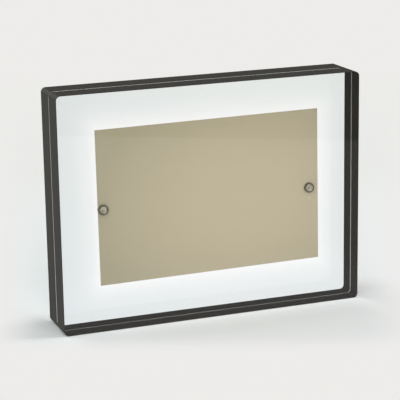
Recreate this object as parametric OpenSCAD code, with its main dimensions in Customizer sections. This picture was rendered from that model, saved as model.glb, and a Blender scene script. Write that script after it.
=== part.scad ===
// Free-standing block frame. Two thick clear acrylic slabs stand face to face, held by
// disc magnets that pull through the photo card floating between them. Each slab's edges
// are coated black all round, up to a bare bevel along its inner face.
// X runs to the right, Y from the front to the back and Z up. The origin is the middle
// of the block's underside.

/* [Photo card] */
// Width of the card, which lies on its long side
card_w = 152.4; // [127:0.1:203.2]
// Height of the card
card_h = 101.6; // [89:0.1:152.4]
// Thickness of the card
card_t = 0.3; // [0.2:0.05:0.8]
// How far to the right of the middle the card was laid
card_off_x = 1.48; // [0:0.02:3]
// How far above the middle the card was laid
card_off_z = 1.45; // [0:0.05:3]
// How far out of level the card was laid, in degrees
card_turn = 0.48; // [0:0.02:1]
// Free room between the card and each slab
card_clear = 0.05; // [0.02:0.01:0.2]

/* [Acrylic slabs] */
// Clear border to the left and right of a centred card
border_x = 26.15; // [20:0.05:40]
// Clear border above and below a centred card
border_z = 26.3; // [20:0.05:40]
// Thickness of one slab
slab_t = 17.1; // [10:0.1:25]
// Radius of the block's corners, measured over the coat
corner_r = 3; // [1.5:0.1:8]
// Bare bevel along the inner edges of a slab
bevel = 0.25; // [0.15:0.05:0.8]

/* [Edge coat] */
// Thickness of the black coat on a slab's edges
coat_t = 0.1; // [0.05:0.05:0.3]

/* [Magnets] */
// Diameter of a disc magnet
magnet_d = 6; // [5:0.1:10]
// Thickness of a disc magnet
magnet_t = 2; // [1.5:0.1:6]
// Radius of the rounded rims of a magnet
magnet_rim_r = 0.5; // [0.2:0.05:0.7]
// How far in from the ends of a centred card the magnets clamp it
magnet_inset = 5; // [4:0.1:12]
// Room for glue round a magnet in its pocket
glue_t = 0.35; // [0.05:0.05:0.5]
// How far a magnet lies below the slab's inner face
magnet_sink = 0.1; // [0.05:0.01:0.3]

/* [Hidden] */
$fn = 64;

block_w = card_w + 2 * border_x;
block_h = card_h + 2 * border_z;
seam_gap = card_t + 2 * card_clear;
block_d = 2 * slab_t + seam_gap;
slab_w = block_w - 2 * coat_t;
slab_h = block_h - 2 * coat_t;
slab_r = corner_r - coat_t;
magnet_x = card_w / 2 - magnet_inset;
magnet_r = magnet_d / 2;
pocket_r = magnet_r + glue_t;
pocket_depth = magnet_t + magnet_sink;
// How far a cut runs past the face that it opens
overrun = 1;

// The halves are drawn lying on their outer face, with X to the right and the inner
// face on top. These two stand a half up in its place.
module as_front() {
    translate([0, -block_d / 2, block_h / 2]) rotate([-90, 0, 0]) children();
}

module as_back() {
    translate([0, block_d / 2, block_h / 2]) rotate([90, 0, 0]) children();
}

// Section across a whole slab, with the bare bevels at its inner edges
function slab_section(reach) = [
    [-reach, 0], [reach, 0], [reach, slab_t - bevel],
    [reach - bevel, slab_t], [bevel - reach, slab_t], [-reach, slab_t - bevel]
];

// The same section on one side of a corner's centre
function slab_corner_section(reach) = [
    [0, 0], [reach, 0], [reach, slab_t - bevel], [reach - bevel, slab_t], [0, slab_t]
];

// Section of the coat, whose outer face lies at reach. The bevel cuts it on a slant.
function coat_section(reach) = [
    [reach - coat_t, 0], [reach, 0], [reach, slab_t - bevel - coat_t],
    [reach - coat_t, slab_t - bevel]
];

// Sets a quarter turn of its child at each corner of a w by h outline of radius r
module at_corners(w, h, r) {
    for (quarter = [0:3]) {
        side_x = quarter == 0 || quarter == 3 ? 1 : -1;
        side_y = quarter < 2 ? 1 : -1;
        translate([side_x * (w / 2 - r), side_y * (h / 2 - r), 0])
            rotate([0, 0, quarter * 90])
                rotate_extrude(angle = 90) children();
    }
}

// Runs a section along Y over the given length
module along_y(length) {
    translate([0, length / 2, 0]) rotate([90, 0, 0]) linear_extrude(length) children();
}

// One acrylic slab: a plate with rounded corners, bevelled round its inner face, with a
// blind pocket for a magnet at each end of its middle line
module slab() {
    difference() {
        union() {
            along_y(slab_h - 2 * slab_r) polygon(slab_section(slab_w / 2));
            rotate([0, 0, 90])
                along_y(slab_w - 2 * slab_r) polygon(slab_section(slab_h / 2));
            at_corners(slab_w, slab_h, slab_r) polygon(slab_corner_section(slab_r));
        }
        for (side = [-1, 1])
            translate([side * magnet_x, 0, slab_t - pocket_depth])
                cylinder(r = pocket_r, h = pocket_depth + overrun);
    }
}

// The black coat round one slab's edges
module edge_band() {
    for (turn = [0, 180]) rotate([0, 0, turn]) {
        along_y(block_h - 2 * corner_r) polygon(coat_section(block_w / 2));
        rotate([0, 0, 90])
            along_y(block_w - 2 * corner_r) polygon(coat_section(block_h / 2));
    }
    at_corners(block_w, block_h, corner_r) polygon(coat_section(corner_r));
}

// A plated disc magnet with rounded rims, seated on the floor of its pocket
module magnet(side) {
    translate([side * magnet_x, 0, slab_t - pocket_depth]) {
        cylinder(r = magnet_r - magnet_rim_r, h = magnet_t);
        translate([0, 0, magnet_rim_r])
            cylinder(r = magnet_r, h = magnet_t - 2 * magnet_rim_r);
        for (rim_z = [magnet_rim_r, magnet_t - magnet_rim_r])
            translate([0, 0, rim_z])
                rotate_extrude()
                    translate([magnet_r - magnet_rim_r, 0]) circle(r = magnet_rim_r);
    }
}

module front_block() color([0.90, 0.96, 0.95, 0.35]) as_front() slab();

module front_edge_band() color([0.10, 0.10, 0.09]) as_front() edge_band();

module front_left_magnet() color([0.62, 0.60, 0.55]) as_front() magnet(-1);

module front_right_magnet() color([0.62, 0.60, 0.55]) as_front() magnet(1);

module back_block() color([0.90, 0.96, 0.95, 0.35]) as_back() slab();

module back_edge_band() color([0.10, 0.10, 0.09]) as_back() edge_band();

module back_left_magnet() color([0.62, 0.60, 0.55]) as_back() magnet(-1);

module back_right_magnet() color([0.62, 0.60, 0.55]) as_back() magnet(1);

// The card stands in the seam, laid a little off centre and out of level by hand
module photo_card() {
    color([0.70, 0.66, 0.54])
        translate([card_off_x, 0, block_h / 2 + card_off_z])
            rotate([0, -card_turn, 0])
                cube([card_w, card_t, card_h], center = true);
}

front_block();
front_edge_band();
front_left_magnet();
front_right_magnet();
back_block();
back_edge_band();
back_left_magnet();
back_right_magnet();
photo_card();
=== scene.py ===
from math import pi, radians, sin

import bmesh
import bpy
from mathutils import Matrix, Vector


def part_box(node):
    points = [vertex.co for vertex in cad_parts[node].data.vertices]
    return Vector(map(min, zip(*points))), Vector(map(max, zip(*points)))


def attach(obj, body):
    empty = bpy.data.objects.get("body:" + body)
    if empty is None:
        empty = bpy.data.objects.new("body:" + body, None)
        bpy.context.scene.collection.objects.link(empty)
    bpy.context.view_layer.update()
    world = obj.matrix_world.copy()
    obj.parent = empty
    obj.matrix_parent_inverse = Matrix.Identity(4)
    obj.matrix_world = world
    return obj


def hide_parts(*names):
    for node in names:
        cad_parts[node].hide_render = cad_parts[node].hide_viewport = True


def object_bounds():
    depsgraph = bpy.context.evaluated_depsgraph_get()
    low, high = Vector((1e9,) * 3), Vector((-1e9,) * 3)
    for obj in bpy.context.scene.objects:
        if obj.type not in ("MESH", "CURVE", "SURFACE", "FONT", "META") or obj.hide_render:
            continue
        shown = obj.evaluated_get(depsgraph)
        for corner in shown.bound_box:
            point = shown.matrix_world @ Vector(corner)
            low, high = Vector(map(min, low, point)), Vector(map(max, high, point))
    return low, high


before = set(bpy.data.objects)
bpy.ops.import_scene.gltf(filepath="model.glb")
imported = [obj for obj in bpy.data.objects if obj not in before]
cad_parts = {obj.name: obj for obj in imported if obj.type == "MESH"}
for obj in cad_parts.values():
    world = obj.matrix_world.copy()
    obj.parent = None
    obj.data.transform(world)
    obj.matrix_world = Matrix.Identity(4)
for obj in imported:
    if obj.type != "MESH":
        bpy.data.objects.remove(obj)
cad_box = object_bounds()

# The camera. It stands to the left of the block and above it, about a metre off, with a
# long lens, and its place and turns were solved from the edges of the block and the card.
camera_data = bpy.data.cameras.new("camera")
camera_data.sensor_width = 36.0
camera_data.lens = 146.28
camera = bpy.data.objects.new("camera", camera_data)
camera_place = Vector((-0.3619, -0.9591, 0.3381))
camera_yaw, camera_pitch, camera_roll = radians(20.50), radians(14.42), radians(-0.95)
camera.matrix_world = (
    Matrix.Translation(camera_place)
    @ Matrix.Rotation(-camera_yaw, 4, "Z")
    @ Matrix.Rotation(pi / 2 - camera_pitch, 4, "X")
    @ Matrix.Rotation(camera_roll, 4, "Z")
)
bpy.context.collection.objects.link(camera)
bpy.context.scene.camera = camera
bpy.context.scene.view_settings.view_transform = "Standard"

# The acrylic slabs. Each is a thick cast plate with polished faces, rounded corners, two
# blind pockets drilled in its inner face and a scraped bevel round that face. The coat and
# the glued magnets touch the plastic, so the plate here runs a hair into them.
wet_overlap = 0.00004
slab_low, slab_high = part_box("front_block")
slab_width = slab_high.x - slab_low.x
slab_height = slab_high.z - slab_low.z
slab_middle_z = (slab_low.z + slab_high.z) / 2
coat_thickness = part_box("front_edge_band")[1].x - slab_high.x
block_corner_radius = 0.003
slab_corner_radius = block_corner_radius - coat_thickness
corner_segments = 12
scraped_bevel = 0.00025
bevel_clearance = 0.00001
glue_room = 0.00035
pocket_run_out = 0.001
pocket_sides = 64
same_plane, same_point = 0.000001, 0.0000001
# Each half's body, its magnets, and the way along Y in which its inner face looks
halves = {
    "front": ("front_half", ["front_left_magnet", "front_right_magnet"], 1),
    "back": ("back_half", ["back_left_magnet", "back_right_magnet"], -1),
}


def rounded_plate(width, height, y_outer, y_inner, corner_radius, outer_bevel, inner_bevel):
    """A plate standing between two Y planes, with its long edges rounded and its rims bevelled."""
    bm = bmesh.new()
    bmesh.ops.create_cube(bm, size=1.0)
    bmesh.ops.scale(bm, vec=(width, abs(y_inner - y_outer), height), verts=bm.verts)
    bmesh.ops.translate(bm, vec=(0, (y_outer + y_inner) / 2, slab_middle_z), verts=bm.verts)
    corners = [e for e in bm.edges if abs(e.verts[0].co.y - e.verts[1].co.y) > same_plane]
    bmesh.ops.bevel(
        bm, geom=corners, offset=corner_radius, offset_type="OFFSET",
        segments=corner_segments, profile=0.5, affect="EDGES", material=-1,
    )
    for y, rim_width in ((y_outer, outer_bevel), (y_inner, inner_bevel)):
        rim = [e for e in bm.edges if all(abs(v.co.y - y) < same_plane for v in e.verts)]
        bmesh.ops.bevel(
            bm, geom=rim, offset=rim_width, offset_type="OFFSET",
            segments=1, profile=0.5, affect="EDGES", material=-1,
        )
    return bm


def finished(name, bm):
    """Closes a bmesh, turns its faces outwards and links it as a piece at the origin."""
    bmesh.ops.remove_doubles(bm, verts=bm.verts, dist=same_point)
    bmesh.ops.recalc_face_normals(bm, faces=bm.faces)
    mesh = bpy.data.meshes.new(name)
    bm.to_mesh(mesh)
    bm.free()
    piece = bpy.data.objects.new(name, mesh)
    bpy.context.collection.objects.link(piece)
    return piece


def drilled(piece, magnets, y_inner, inwards):
    """Cuts a blind pocket round each magnet, a hair less deep than it, so that they touch."""
    cutters = bmesh.new()
    for node in magnets:
        low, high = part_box(node)
        seat_y = (low.y if inwards > 0 else high.y) + inwards * wet_overlap / 2
        depth = abs(y_inner - seat_y) + pocket_run_out
        middle = Vector((
            (low.x + high.x) / 2, seat_y + inwards * depth / 2, (low.z + high.z) / 2,
        ))
        radius = (high.x - low.x) / 2 + glue_room
        bmesh.ops.create_cone(
            cutters, cap_ends=True, segments=pocket_sides, radius1=radius, radius2=radius,
            depth=depth, matrix=Matrix.Translation(middle) @ Matrix.Rotation(pi / 2, 4, "X"),
        )
    cutter = finished("pocket_cutter", cutters)
    cut = piece.modifiers.new("pockets", "BOOLEAN")
    cut.object, cut.operation, cut.solver = cutter, "DIFFERENCE", "EXACT"
    shape = bpy.data.meshes.new_from_object(
        piece.evaluated_get(bpy.context.evaluated_depsgraph_get())
    )
    piece.modifiers.clear()
    piece.data = shape
    bpy.data.objects.remove(cutter)


class Lead:
    """A socket of a material or of the world, which plain arithmetic wires further."""

    def __init__(self, socket):
        self.socket, self.tree = socket, socket.id_data

    @classmethod
    def node(cls, tree, kind, settings=None, values=None, output=0):
        """Adds a node, sets it up, fills or wires its inputs and gives one output.
        A setting named stops holds a ramp's places and the grey level at each."""
        new = tree.nodes.new(kind)
        for name, value in (settings or {}).items():
            if name == "stops":
                ramp = new.color_ramp
                while len(ramp.elements) < len(value):
                    ramp.elements.new(0.5)
                for stop, (place, level) in zip(ramp.elements, value):
                    stop.position, stop.color = place, (level, level, level, 1.0)
            else:
                setattr(new, name, value)
        for name, value in (values or {}).items():
            if isinstance(value, Lead):
                tree.links.new(value.socket, new.inputs[name])
            else:
                new.inputs[name].default_value = value
        return cls(new.outputs[output])

    def maths(self, operation, *others):
        """Works on this value and the others with a Math node."""
        values = dict(enumerate((self, *others)))
        return Lead.node(self.tree, "ShaderNodeMath", {"operation": operation}, values)

    def vectors(self, operation, *others, output=0):
        """Works on this place or colour and the others with a Vector Math node."""
        values = dict(enumerate((self, *others)))
        return Lead.node(
            self.tree, "ShaderNodeVectorMath", {"operation": operation}, values, output
        )

    def __add__(self, other):
        return self.maths("ADD", other)

    def __sub__(self, other):
        return self.maths("SUBTRACT", other)

    def __rsub__(self, other):
        return (self * -1.0) + other

    def __mul__(self, other):
        return self.maths("MULTIPLY", other)

    __radd__, __rmul__ = __add__, __mul__

    def length(self):
        """How long this vector is."""
        return self.vectors("LENGTH", output="Value")

    def along(self, axis):
        """The X, Y or Z of this place or direction."""
        return Lead.node(self.tree, "ShaderNodeSeparateXYZ", None, {0: self}, output=axis)

    def rise(self, limits, levels=(0.0, 1.0), smooth=False):
        """Runs from one level to the other as this value runs from one limit to the other."""
        return Lead.node(
            self.tree, "ShaderNodeMapRange",
            {"interpolation_type": "SMOOTHSTEP" if smooth else "LINEAR"},
            {
                "Value": self, "From Min": limits[0], "From Max": limits[1],
                "To Min": levels[0], "To Max": levels[1],
            },
        )

    def ramp(self, stops):
        """Follows a row of stops, each a place from 0 to 1 and the level there."""
        return Lead.node(self.tree, "ShaderNodeValToRGB", {"stops": stops}, {0: self})

    def blend(self, start, end):
        """Runs from one colour to another as this value runs from 0 to 1."""
        return Lead.node(
            self.tree, "ShaderNodeMix", {"data_type": "RGBA"},
            {"Factor": self, "A": start, "B": end}, output=2,
        )

    def shaders(self, first, second):
        """Shows the first shader where this value is 0 and the second where it is 1."""
        return Lead.node(self.tree, "ShaderNodeMixShader", None, {0: self, 1: first, 2: second})


def fresh_material(name):
    """An empty material, with its node tree."""
    material = bpy.data.materials.new(name)
    material.use_nodes = True
    material.node_tree.nodes.clear()
    return material, material.node_tree


def principled(tree, values):
    """The general surface shader, with the given sockets set or wired."""
    return Lead.node(tree, "ShaderNodeBsdfPrincipled", None, values)


def surface_of(tree, shader, kind="ShaderNodeOutputMaterial"):
    """Wires a shader to the surface of a material or of the world."""
    out = tree.nodes.new(kind)
    tree.links.new(shader.socket, out.inputs["Surface"])


def object_place(tree):
    """Where the surface is, in metres from the object's origin."""
    return Lead.node(tree, "ShaderNodeTexCoord", output="Object")


def noise(tree, place, scale, detail=3.0):
    """Clouds from 0 to 1, with scale of them to the metre and the given fineness."""
    return Lead.node(
        tree, "ShaderNodeTexNoise", None, {"Vector": place, "Scale": scale, "Detail": detail}
    )


def ray_is(tree, kind):
    """1 for rays of the given kind and 0 for the others."""
    return Lead.node(tree, "ShaderNodeLightPath", output="Is " + kind + " Ray")


acrylic_index = 1.49
plain_white, plain_black = (1.0, 1.0, 1.0, 1.0), (0.0, 0.0, 0.0, 1.0)
# Painted shade towards the black edges and painted light in the middle of the clear
edge_shade_tint, middle_light_tint = (0.874, 0.899, 0.903, 1.0), (0.917, 0.935, 0.930, 1.0)
shadow_tint = (0.955, 0.97, 0.968, 1.0)
dull_frost, bright_frost = (0.80, 0.82, 0.74, 1.0), (0.94, 0.96, 0.88, 1.0)
# Dark tones for the pocket: glue, and painted shade of the deep gap round each magnet
glue_and_gap_shade_dark, glue_and_gap_shade_pale = (0.042, 0.034, 0.020, 1.0), (0.16, 0.140, 0.095, 1.0)
card_low, card_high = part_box("photo_card")
card_middle, card_half = (card_low + card_high) / 2, (card_high - card_low) / 2
unbounded = 1.0
painted_glow_fade_per_metre = 120.0
# How bright the bevel is painted, as painted light and shade, at shares of the slab's height and
# of its half width
painted_light_up_the_sides = (
    (0.004, 0.03), (0.02, 0.57), (0.40, 0.50), (0.75, 0.36), (0.95, 0.24), (1.0, 0.22),
)
painted_light_to_the_right = ((0.0, 1.0), (0.985, 1.0), (0.995, 0.62))
# Where the top bevel takes its painted light, and where the upper left corner takes its painted
# shade
top_bevel_limits = (slab_high.z - 0.0007, slab_high.z - 0.0003)
corner_reach = 0.006
corner_shade_limits, corner_shade_levels = (0.0062, 0.0068), (1.0, 0.08)


def outside_of(place, middle, half_size):
    """How far a point lies outside a box, in metres. An unbounded half size is never passed."""
    past = place.vectors("SUBTRACT", middle).vectors("ABSOLUTE").vectors("SUBTRACT", half_size)
    return past.vectors("MAXIMUM", (0.0, 0.0, 0.0)).length()


def from_upper_left(place):
    """How far a point lies beyond the start of the upper left corner, in metres."""
    start = Vector((corner_reach - slab_high.x, 0.0, slab_high.z - corner_reach))
    past = place.vectors("SUBTRACT", start).vectors("MULTIPLY", (-1.0, 0.0, 1.0))
    return past.vectors("MAXIMUM", (0.0, 0.0, 0.0)).length()


def clear_acrylic():
    """Polished cast acrylic, with a painted glow round the pale card and painted shade, cooler,
    towards the black edges.
    """
    material, tree = fresh_material("clear_acrylic")
    place = object_place(tree)
    # The painted glow round the card
    from_card = outside_of(place, card_middle, (card_half.x, unbounded, card_half.z))
    painted_glow = (from_card * -painted_glow_fade_per_metre).maths("EXPONENT")
    # Painted light, warmer towards the middle and the right, with faint clouds from the casting
    casting = noise(tree, place, scale=14.0, detail=2.0)
    across = place.along("X")
    from_ends = 1.0 - across.maths("ABSOLUTE") * (2.0 / slab_width)
    painted_light_and_casting = across * (0.45 / slab_width) + 0.12 + casting * 0.25 + from_ends * 0.55
    plastic = principled(tree, {
        "Base Color": painted_glow.blend(painted_light_and_casting.blend(edge_shade_tint, middle_light_tint), plain_white),
        "Roughness": 0.0, "IOR": acrylic_index, "Transmission Weight": 1.0,
    })
    see_through = Lead.node(tree, "ShaderNodeBsdfTransparent", None, {"Color": shadow_tint})
    passed_on = ray_is(tree, "Shadow").maths("MAXIMUM", ray_is(tree, "Diffuse"))
    surface_of(tree, passed_on.shaders(plastic, see_through))
    return material


def scraped_acrylic():
    """The bare bevel, frosted by the scraper, with painted light: brightest on top, and painted
    shade underneath and at the upper left corner.
    """
    material, tree = fresh_material("scraped_acrylic")
    place = object_place(tree)
    frosting = noise(tree, place, scale=900.0).blend(dull_frost, bright_frost)
    height = place.along("Z")
    upwards = (height * (1.0 / slab_high.z)).ramp(painted_light_up_the_sides)
    rightwards = (place.along("X") * (1.0 / slab_high.x)).ramp(painted_light_to_the_right)
    sides = upwards.vectors("MULTIPLY", rightwards)
    corner_shade = from_upper_left(place).rise(corner_shade_limits, corner_shade_levels)
    bevel_painted_light = height.rise(top_bevel_limits).blend(sides, plain_white) * corner_shade
    surface_of(tree, principled(tree, {
        "Base Color": bevel_painted_light.blend(plain_black, frosting),
        "Roughness": 0.2, "IOR": acrylic_index, "Transmission Weight": 1.0,
    }))
    return material


def drilled_acrylic():
    """The pocket round a magnet: left matt by the drill, and painted dark for the glue in it and
    the shade of the deep gap round the disc.
    """
    material, tree = fresh_material("drilled_acrylic")
    smears = noise(tree, object_place(tree), scale=260.0, detail=2.0)
    surface_of(tree, principled(tree, {
        "Base Color": smears.blend(glue_and_gap_shade_dark, glue_and_gap_shade_pale),
        "Roughness": 0.6, "Specular IOR Level": 0.2,
    }))
    return material


finishes = [clear_acrylic(), scraped_acrylic(), drilled_acrylic()]
clear_faces, scraped_faces, drilled_faces = range(3)
bevel_slant = (0.3, 0.9)
pocket_face_area = 0.0001
pocket_from_end = 0.01
for half, (body, magnets, inwards) in halves.items():
    low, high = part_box(half + "_block")
    y_outer, y_inner = (low.y, high.y) if inwards > 0 else (high.y, low.y)
    block = finished(half + "_acrylic_slab", rounded_plate(
        width=slab_width + 2 * wet_overlap, height=slab_height + 2 * wet_overlap,
        y_outer=y_outer, y_inner=y_inner, corner_radius=slab_corner_radius + wet_overlap,
        outer_bevel=wet_overlap, inner_bevel=scraped_bevel + wet_overlap + bevel_clearance,
    ))
    drilled(block, magnets, y_inner, inwards)
    for finish in finishes:
        block.data.materials.append(finish)
    for face in block.data.polygons:
        from_end = slab_width / 2 - abs(face.center.x)
        if bevel_slant[0] < face.normal.y * inwards < bevel_slant[1]:
            face.material_index = scraped_faces
        elif face.area < pocket_face_area and from_end > pocket_from_end:
            face.material_index = drilled_faces
        else:
            face.material_index = clear_faces
    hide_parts(half + "_block")
    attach(block, body)

# The edge coats. A black lacquer is brushed round each slab's sawn and sanded edges. It
# has a low sheen outside, and inside it wets the acrylic, so it shows no gloss there.
lacquer_black, lacquer_grey = (0.0165, 0.0153, 0.0127, 1.0), (0.0365, 0.0340, 0.0285, 1.0)
corner_sheen_grey = (0.058, 0.057, 0.055, 1.0)
wet_black, wet_brown = (0.0095, 0.0060, 0.0015, 1.0), (0.0115, 0.0078, 0.0025, 1.0)
brush_stretch = (9.0, 520.0, 9.0)
left_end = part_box("front_edge_band")[0].x
# Painted light along the left end, and where the painted sheen on the upper left corner starts
left_end_light_limits, left_end_light_levels = (left_end + 0.00235, left_end + 0.00035), (0.0, 0.22)
corner_sheen_limits = (0.00714, 0.00725)


def bumps(height, strength, distance):
    """Marks as deep as the value says, up to a distance in metres."""
    return Lead.node(
        height.tree, "ShaderNodeBump", None,
        {"Strength": strength, "Distance": distance, "Height": height},
    )


def facing(tree):
    """Which way the surface faces."""
    return Lead.node(tree, "ShaderNodeTexCoord", output="Normal")


def dressed(nodes, finish):
    """Gives CAD nodes a material in place of their plain one."""
    for node in nodes:
        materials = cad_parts[node].data.materials
        materials.clear()
        materials.append(finish)


def black_coat():
    """Black lacquer: satin and brushed outside, with painted light at the left end and a painted
    sheen on the upper left corner, and dead flat where it lies against the acrylic."""
    material, tree = fresh_material("black_coat")
    place = object_place(tree)
    along_the_edge = Lead.node(
        tree, "ShaderNodeMapping", None, {"Vector": place, "Scale": brush_stretch}
    )
    brushing = noise(tree, along_the_edge, scale=1.0, detail=4.0)
    patches = noise(tree, place, scale=60.0)
    # Painted light at the left end and a painted sheen on the upper left corner
    left_end_light = place.along("X").rise(left_end_light_limits, left_end_light_levels)
    brushed = (brushing * 0.6 + patches * 0.4 + left_end_light).blend(lacquer_black, lacquer_grey)
    corner_sheen = from_upper_left(place).rise(corner_sheen_limits)
    satin = principled(tree, {
        "Base Color": corner_sheen.blend(brushed, corner_sheen_grey),
        "Roughness": 0.55 + brushing * 0.16, "Specular IOR Level": 0.10,
        "Normal": bumps(brushing, strength=0.15, distance=0.00005),
    })
    flat = principled(tree, {
        "Base Color": patches.blend(wet_black, wet_brown),
        "Roughness": 0.9, "Specular IOR Level": 0.0,
    })
    # The outside of the coat faces away from the block's middle
    from_middle = place.vectors("SUBTRACT", (0.0, 0.0, slab_middle_z))
    outwards = from_middle.vectors("DOT_PRODUCT", facing(tree), output="Value")
    surface_of(tree, outwards.maths("GREATER_THAN", 0.0).shaders(flat, satin))
    return material


dressed([half + "_edge_band" for half in halves], black_coat())

# The magnets. Each is a nickel-plated disc with tumbled rims, glued in its blind pocket,
# so from outside it is seen through the slab, over the card.
magnet_low, magnet_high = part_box("front_right_magnet")
magnet_middle = (magnet_low + magnet_high) / 2
magnet_radius = (magnet_high.x - magnet_low.x) / 2
stained_nickel, clean_nickel = (0.235, 0.226, 0.172, 1.0), (0.53, 0.500, 0.390, 1.0)
# A dark ring painted over each rim: glue, and painted shade round the rim
glue_and_rim_shade = (0.036, 0.027, 0.014, 1.0)
stain_edges = ((0.35, 0.0), (0.65, 1.0))
glue_and_rim_shade_edges = ((0.74, 0.0), (0.88, 1.0))


def nickel_plate():
    """Nickel dulled by tumbling marks, with a dark ring over the rim of each disc, painted for
    glue and for the shade round the rim.
    """
    material, tree = fresh_material("nickel_plate")
    place = object_place(tree)
    tumbling = noise(tree, place, scale=1400.0)
    clean_spots = noise(tree, place, scale=520.0, detail=2.0).ramp(stain_edges)
    tone = clean_spots.blend(stained_nickel, clean_nickel)
    # The right magnets' axis serves all four, because X is taken without its sign
    from_axis = place.vectors("ABSOLUTE").vectors("SUBTRACT", magnet_middle).vectors(
        "MULTIPLY", (1.0, 0.0, 1.0)
    ).length() * (1.0 / magnet_radius)
    wandering = noise(tree, place, scale=330.0, detail=1.0) * 0.3 - 0.15
    glue_and_rim_shade_share = (from_axis + wandering).ramp(glue_and_rim_shade_edges)
    surface_of(tree, principled(tree, {
        "Base Color": glue_and_rim_shade_share.blend(tone, glue_and_rim_shade),
        "Metallic": 1.0 - glue_and_rim_shade_share, "Roughness": 0.28 + tumbling * 0.1,
        "Normal": bumps(tumbling, strength=0.2, distance=0.00002),
    }))
    return material


dressed([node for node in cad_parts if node.endswith("_magnet")], nickel_plate())

# The photo card. A stiff sheet of glossy card, which the magnets hold in the seam, so that
# it floats in the clear. Its face is khaki, with painted light lightest right of the middle and
# one pale fleck by the right magnet, and its back and edges are bare stock.
deep_khaki, pale_khaki = (0.409, 0.351, 0.222, 1.0), (0.578, 0.479, 0.312, 1.0)
fleck_tone, bare_stock = (0.66, 0.60, 0.42, 1.0), (0.72, 0.70, 0.64, 1.0)
# Where the painted light on the card is brightest, how far it reaches, and how it fades
painted_light_place = card_middle + Vector((0.028, 0.0, -0.007))
painted_light_reach = (0.115, unbounded, 0.085)
painted_light_levels = ((0.0, 1.0), (0.30, 0.88), (0.62, 0.54), (0.95, 0.0))
fleck_place = Vector((0.0713, card_low.y, 0.0700))
fleck_limits = (0.0010, 0.0002)
front_facing = -0.5


def khaki_card():
    """Glossy khaki print with painted light, lightest right of the middle, on a stock that is pale
    elsewhere.
    """
    material, tree = fresh_material("khaki_card")
    place = object_place(tree)
    fibres = noise(tree, place, scale=700.0, detail=4.0)
    clouds = noise(tree, place, scale=18.0, detail=2.0)
    from_painted_light = Lead.node(
        tree, "ShaderNodeMapping", {"vector_type": "TEXTURE"},
        {"Vector": place, "Location": painted_light_place, "Scale": painted_light_reach},
    ).length()
    painted_light_and_grain = from_painted_light.ramp(painted_light_levels) * 0.85 + (fibres + clouds) * 0.075
    fleck = place.vectors("SUBTRACT", fleck_place).length().rise(fleck_limits)
    printed = fleck.blend(painted_light_and_grain.blend(deep_khaki, pale_khaki), fleck_tone)
    on_front = facing(tree).along("Y").maths("LESS_THAN", front_facing)
    surface_of(tree, principled(tree, {
        "Base Color": on_front.blend(bare_stock, printed), "Roughness": 0.03,
    }))
    return material


dressed(["photo_card"], khaki_card())

# The stage. A wide sheet of pale paper for the block to stand on, which takes its shadows
# and fades to an even tone round them, with painted light and shade in its colour round the
# block. Glass and gloss see a soft pool of light on it under and behind the block, and the
# room in front.
stage_half_width = 4.0
even_paper = (0.847, 0.839, 0.823, 1.0)
# Painted light and shade on the paper round the block, along its foot and past its right end
painted_paper_front, painted_paper_front_left = (0.861, 0.880, 0.868, 1.0), (0.850, 0.884, 0.882, 1.0)
painted_paper_behind, painted_paper_behind_left = (0.885, 0.902, 0.899, 1.0), (0.855, 0.895, 0.893, 1.0)
painted_paper_far_behind = (0.828, 0.838, 0.814, 1.0)
painted_foot_shade, painted_foot_shade_left = (0.948, 0.950, 0.960, 1.0), (0.978, 0.978, 0.978, 1.0)
painted_foot_light = (1.14, 1.135, 1.16, 1.0)
painted_end_shade = (0.940, 0.937, 0.930, 1.0)
pool_middle, pool_edge = (0.975, 0.980, 0.986, 1.0), (1.0, 1.0, 0.972, 1.0)
pattern_turn = radians(-20.5)
shaded_middle = Vector((0.0, 0.475, 0.0))
shaded_half = (0.105, 0.525, unbounded)
shaded_widening = 0.115
shade_side_limits = (0.0, 0.04)
shade_depth_limits = (0.40, 0.98)
behind_limits = (-0.03, 0.03)
far_behind_limits = (0.12, 0.40)
leftward_limits = (-0.02, -0.11)
block_low, block_high = cad_box
strip_limits = (block_low.y, block_low.y - 0.002)
strip_end_limits = (block_high.x - 0.010, block_high.x + 0.006)
strip_width = 0.056
# From the foot forwards across the strip, 0 for its painted shade and 1 for its painted light
strip_levels = (
    (0.0, 0.75), (0.06, 0.70), (0.13, 0.34), (0.22, 0.12), (0.36, 0.0), (0.50, 0.02),
    (0.72, 0.22), (1.0, 0.30),
)
beside_middle = Vector((block_high.x + 0.012, 0.006, 0.0))
beside_half = Vector((0.010, 0.004, unbounded))
beside_limits = (0.018, 0.0)
room_limits = (-0.05, -0.15)


def past_the_shade(across, depth):
    """0 where the block's shadows fall, and 1 past them."""
    fanned = Lead.node(
        across.tree, "ShaderNodeCombineXYZ", None,
        {"X": across.maths("ABSOLUTE") - depth * shaded_widening, "Y": depth},
    )
    at_sides = outside_of(fanned, shaded_middle, shaded_half)
    return at_sides.rise(shade_side_limits, smooth=True).maths(
        "MAXIMUM", depth.rise(shade_depth_limits, smooth=True)
    )


def painted_paper_tone(leftwards, depth):
    """Painted light and shade on the paper round the block: palest just behind it, dullest far
    behind, cooler at left.
    """
    in_front = leftwards.blend(painted_paper_front, painted_paper_front_left)
    behind = leftwards.blend(painted_paper_behind, painted_paper_behind_left)
    near = depth.rise(behind_limits, smooth=True).blend(in_front, behind)
    return depth.rise(far_behind_limits).blend(near, painted_paper_far_behind)


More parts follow.
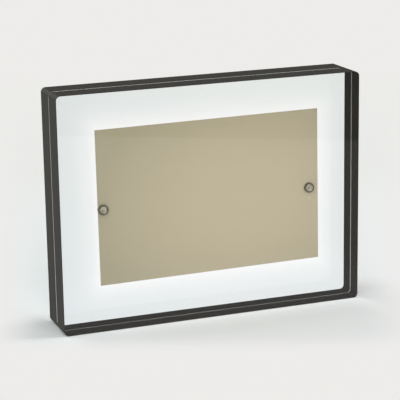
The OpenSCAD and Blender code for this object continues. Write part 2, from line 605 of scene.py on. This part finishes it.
def painted_foot_tone(place, leftwards):
    """Painted light and shade that the paper is multiplied by along the block's foot and past its
    right end.
    """
    backwards = place.along("Y")
    past_the_ends = place.along("X").maths("ABSOLUTE").rise(strip_end_limits, smooth=True)
    in_strip = backwards.rise(strip_limits) * (1.0 - past_the_ends)
    across_strip = ((block_low.y - backwards) * (1.0 / strip_width)).ramp(strip_levels)
    strip = across_strip.blend(leftwards.blend(painted_foot_shade, painted_foot_shade_left), painted_foot_light)
    beside = outside_of(place, beside_middle, beside_half).rise(beside_limits, smooth=True)
    return in_strip.blend(plain_white, strip).vectors(
        "MULTIPLY", beside.blend(plain_white, painted_end_shade)
    )


def glowing(tree, colour, kind="ShaderNodeEmission"):
    """An even glow, at which a colour shows as it is written."""
    return Lead.node(tree, kind, None, {"Color": colour, "Strength": 1.0})


def stage_paper():
    """Matt paper, which the camera sees fade to an even tone and gloss sees as a glow."""
    material, tree = fresh_material("stage_paper")
    place = object_place(tree)
    turned = Lead.node(
        tree, "ShaderNodeMapping", {"vector_type": "TEXTURE"},
        {"Vector": place, "Rotation": (0.0, 0.0, pattern_turn)},
    )
    across, depth = turned.along("X"), turned.along("Y")
    leftwards = across.rise(leftward_limits)
    tone = painted_paper_tone(leftwards, depth).vectors("MULTIPLY", painted_foot_tone(place, leftwards))
    paper = Lead.node(tree, "ShaderNodeBsdfDiffuse", None, {"Color": tone})
    even = past_the_shade(across, depth) * ray_is(tree, "Camera")
    sheet = even.shaders(paper, glowing(tree, even_paper))
    pool = glowing(tree, place.length().blend(pool_middle, pool_edge))
    clear_to_the_room = Lead.node(tree, "ShaderNodeBsdfTransparent")
    forwards = place.along("Y").rise(room_limits, smooth=True)
    shown_in_gloss = forwards.shaders(pool, clear_to_the_room)
    in_gloss = ray_is(tree, "Transmission").maths("MAXIMUM", ray_is(tree, "Glossy"))
    seen_in_gloss = in_gloss * (1.0 - ray_is(tree, "Shadow"))
    surface_of(tree, seen_in_gloss.shaders(sheet, shown_in_gloss))
    return material


stage_mesh = bmesh.new()
bmesh.ops.create_grid(stage_mesh, x_segments=1, y_segments=1, size=stage_half_width)
stage = finished("stage_sheet", stage_mesh)
stage.data.materials.append(stage_paper())

# The light. A pale room for soft fill, whose darker part is mirrored above a straight edge,
# a high light from the right, which throws the left end's shadow, a broad low one from
# behind on the left, and two broad ones in front.
world = bpy.data.worlds.new("surround")
world.use_nodes = True
bpy.context.scene.world = world
sky = world.node_tree
sky.nodes.clear()

backdrop_white = (0.838, 0.838, 0.823, 1.0)
matt_fill, gloss_fill = (0.36, 0.36, 0.36, 1.0), (0.50, 0.50, 0.50, 1.0)
room_tone = (1.0, 0.99, 0.955)
room_edge = (0.10372, -0.18729, 0.97681)
edge_limits = (-0.0008, 0.0008)
pale_room, pale_slope = 0.79, -0.15
dim_room, dim_slope, dim_limit = 0.52, 0.8, 0.60

direction = Lead.node(sky, "ShaderNodeTexCoord", output="Generated")
in_front = direction.along("Y").maths("LESS_THAN", 0.0)
above = direction.vectors("DOT_PRODUCT", room_edge, output="Value")
room = above.rise(edge_limits).blend(
    above * pale_slope + pale_room, (above * dim_slope + dim_room).maths("MINIMUM", dim_limit)
).vectors("MULTIPLY", room_tone)
glossy, through = ray_is(sky, "Glossy"), ray_is(sky, "Transmission")
seen = ray_is(sky, "Camera").maths("MAXIMUM", through)
surround = seen.blend(glossy.blend(matt_fill, gloss_fill), backdrop_white)
# Rays that were only bent by the clear also count as glossy, but not in the glossy depth
reflections = Lead.node(sky, "ShaderNodeLightPath", output="Glossy Depth")
mirrored = glossy * reflections.maths("GREATER_THAN", 0.5) * in_front
background = glowing(sky, mirrored.blend(surround, room), "ShaderNodeBackground")
surface_of(sky, background, "ShaderNodeOutputWorld")


def soft_light(name, turn, height, spread, floor_share):
    """A broad, even light from one side. Its share is of what a fully lit floor receives."""
    data = bpy.data.lights.new(name, "SUN")
    data.angle = radians(spread)
    data.energy = pi * floor_share / sin(radians(height))
    lamp = bpy.data.objects.new(name, data)
    source = (
        Matrix.Rotation(radians(turn), 3, "Z") @ Matrix.Rotation(-radians(height), 3, "Y")
        @ Vector((1.0, 0.0, 0.0))
    )
    lamp.rotation_mode = "QUATERNION"
    lamp.rotation_quaternion = (-source).to_track_quat("-Z", "Y")
    bpy.context.collection.objects.link(lamp)


soft_light("high_right", turn=-8, height=72.5, spread=9, floor_share=0.228)
soft_light("back_left", turn=135, height=30, spread=60, floor_share=0.155)
soft_light("front_left", turn=225, height=30, spread=60, floor_share=0.063)
soft_light("front", turn=-90, height=30, spread=60, floor_share=0.19)
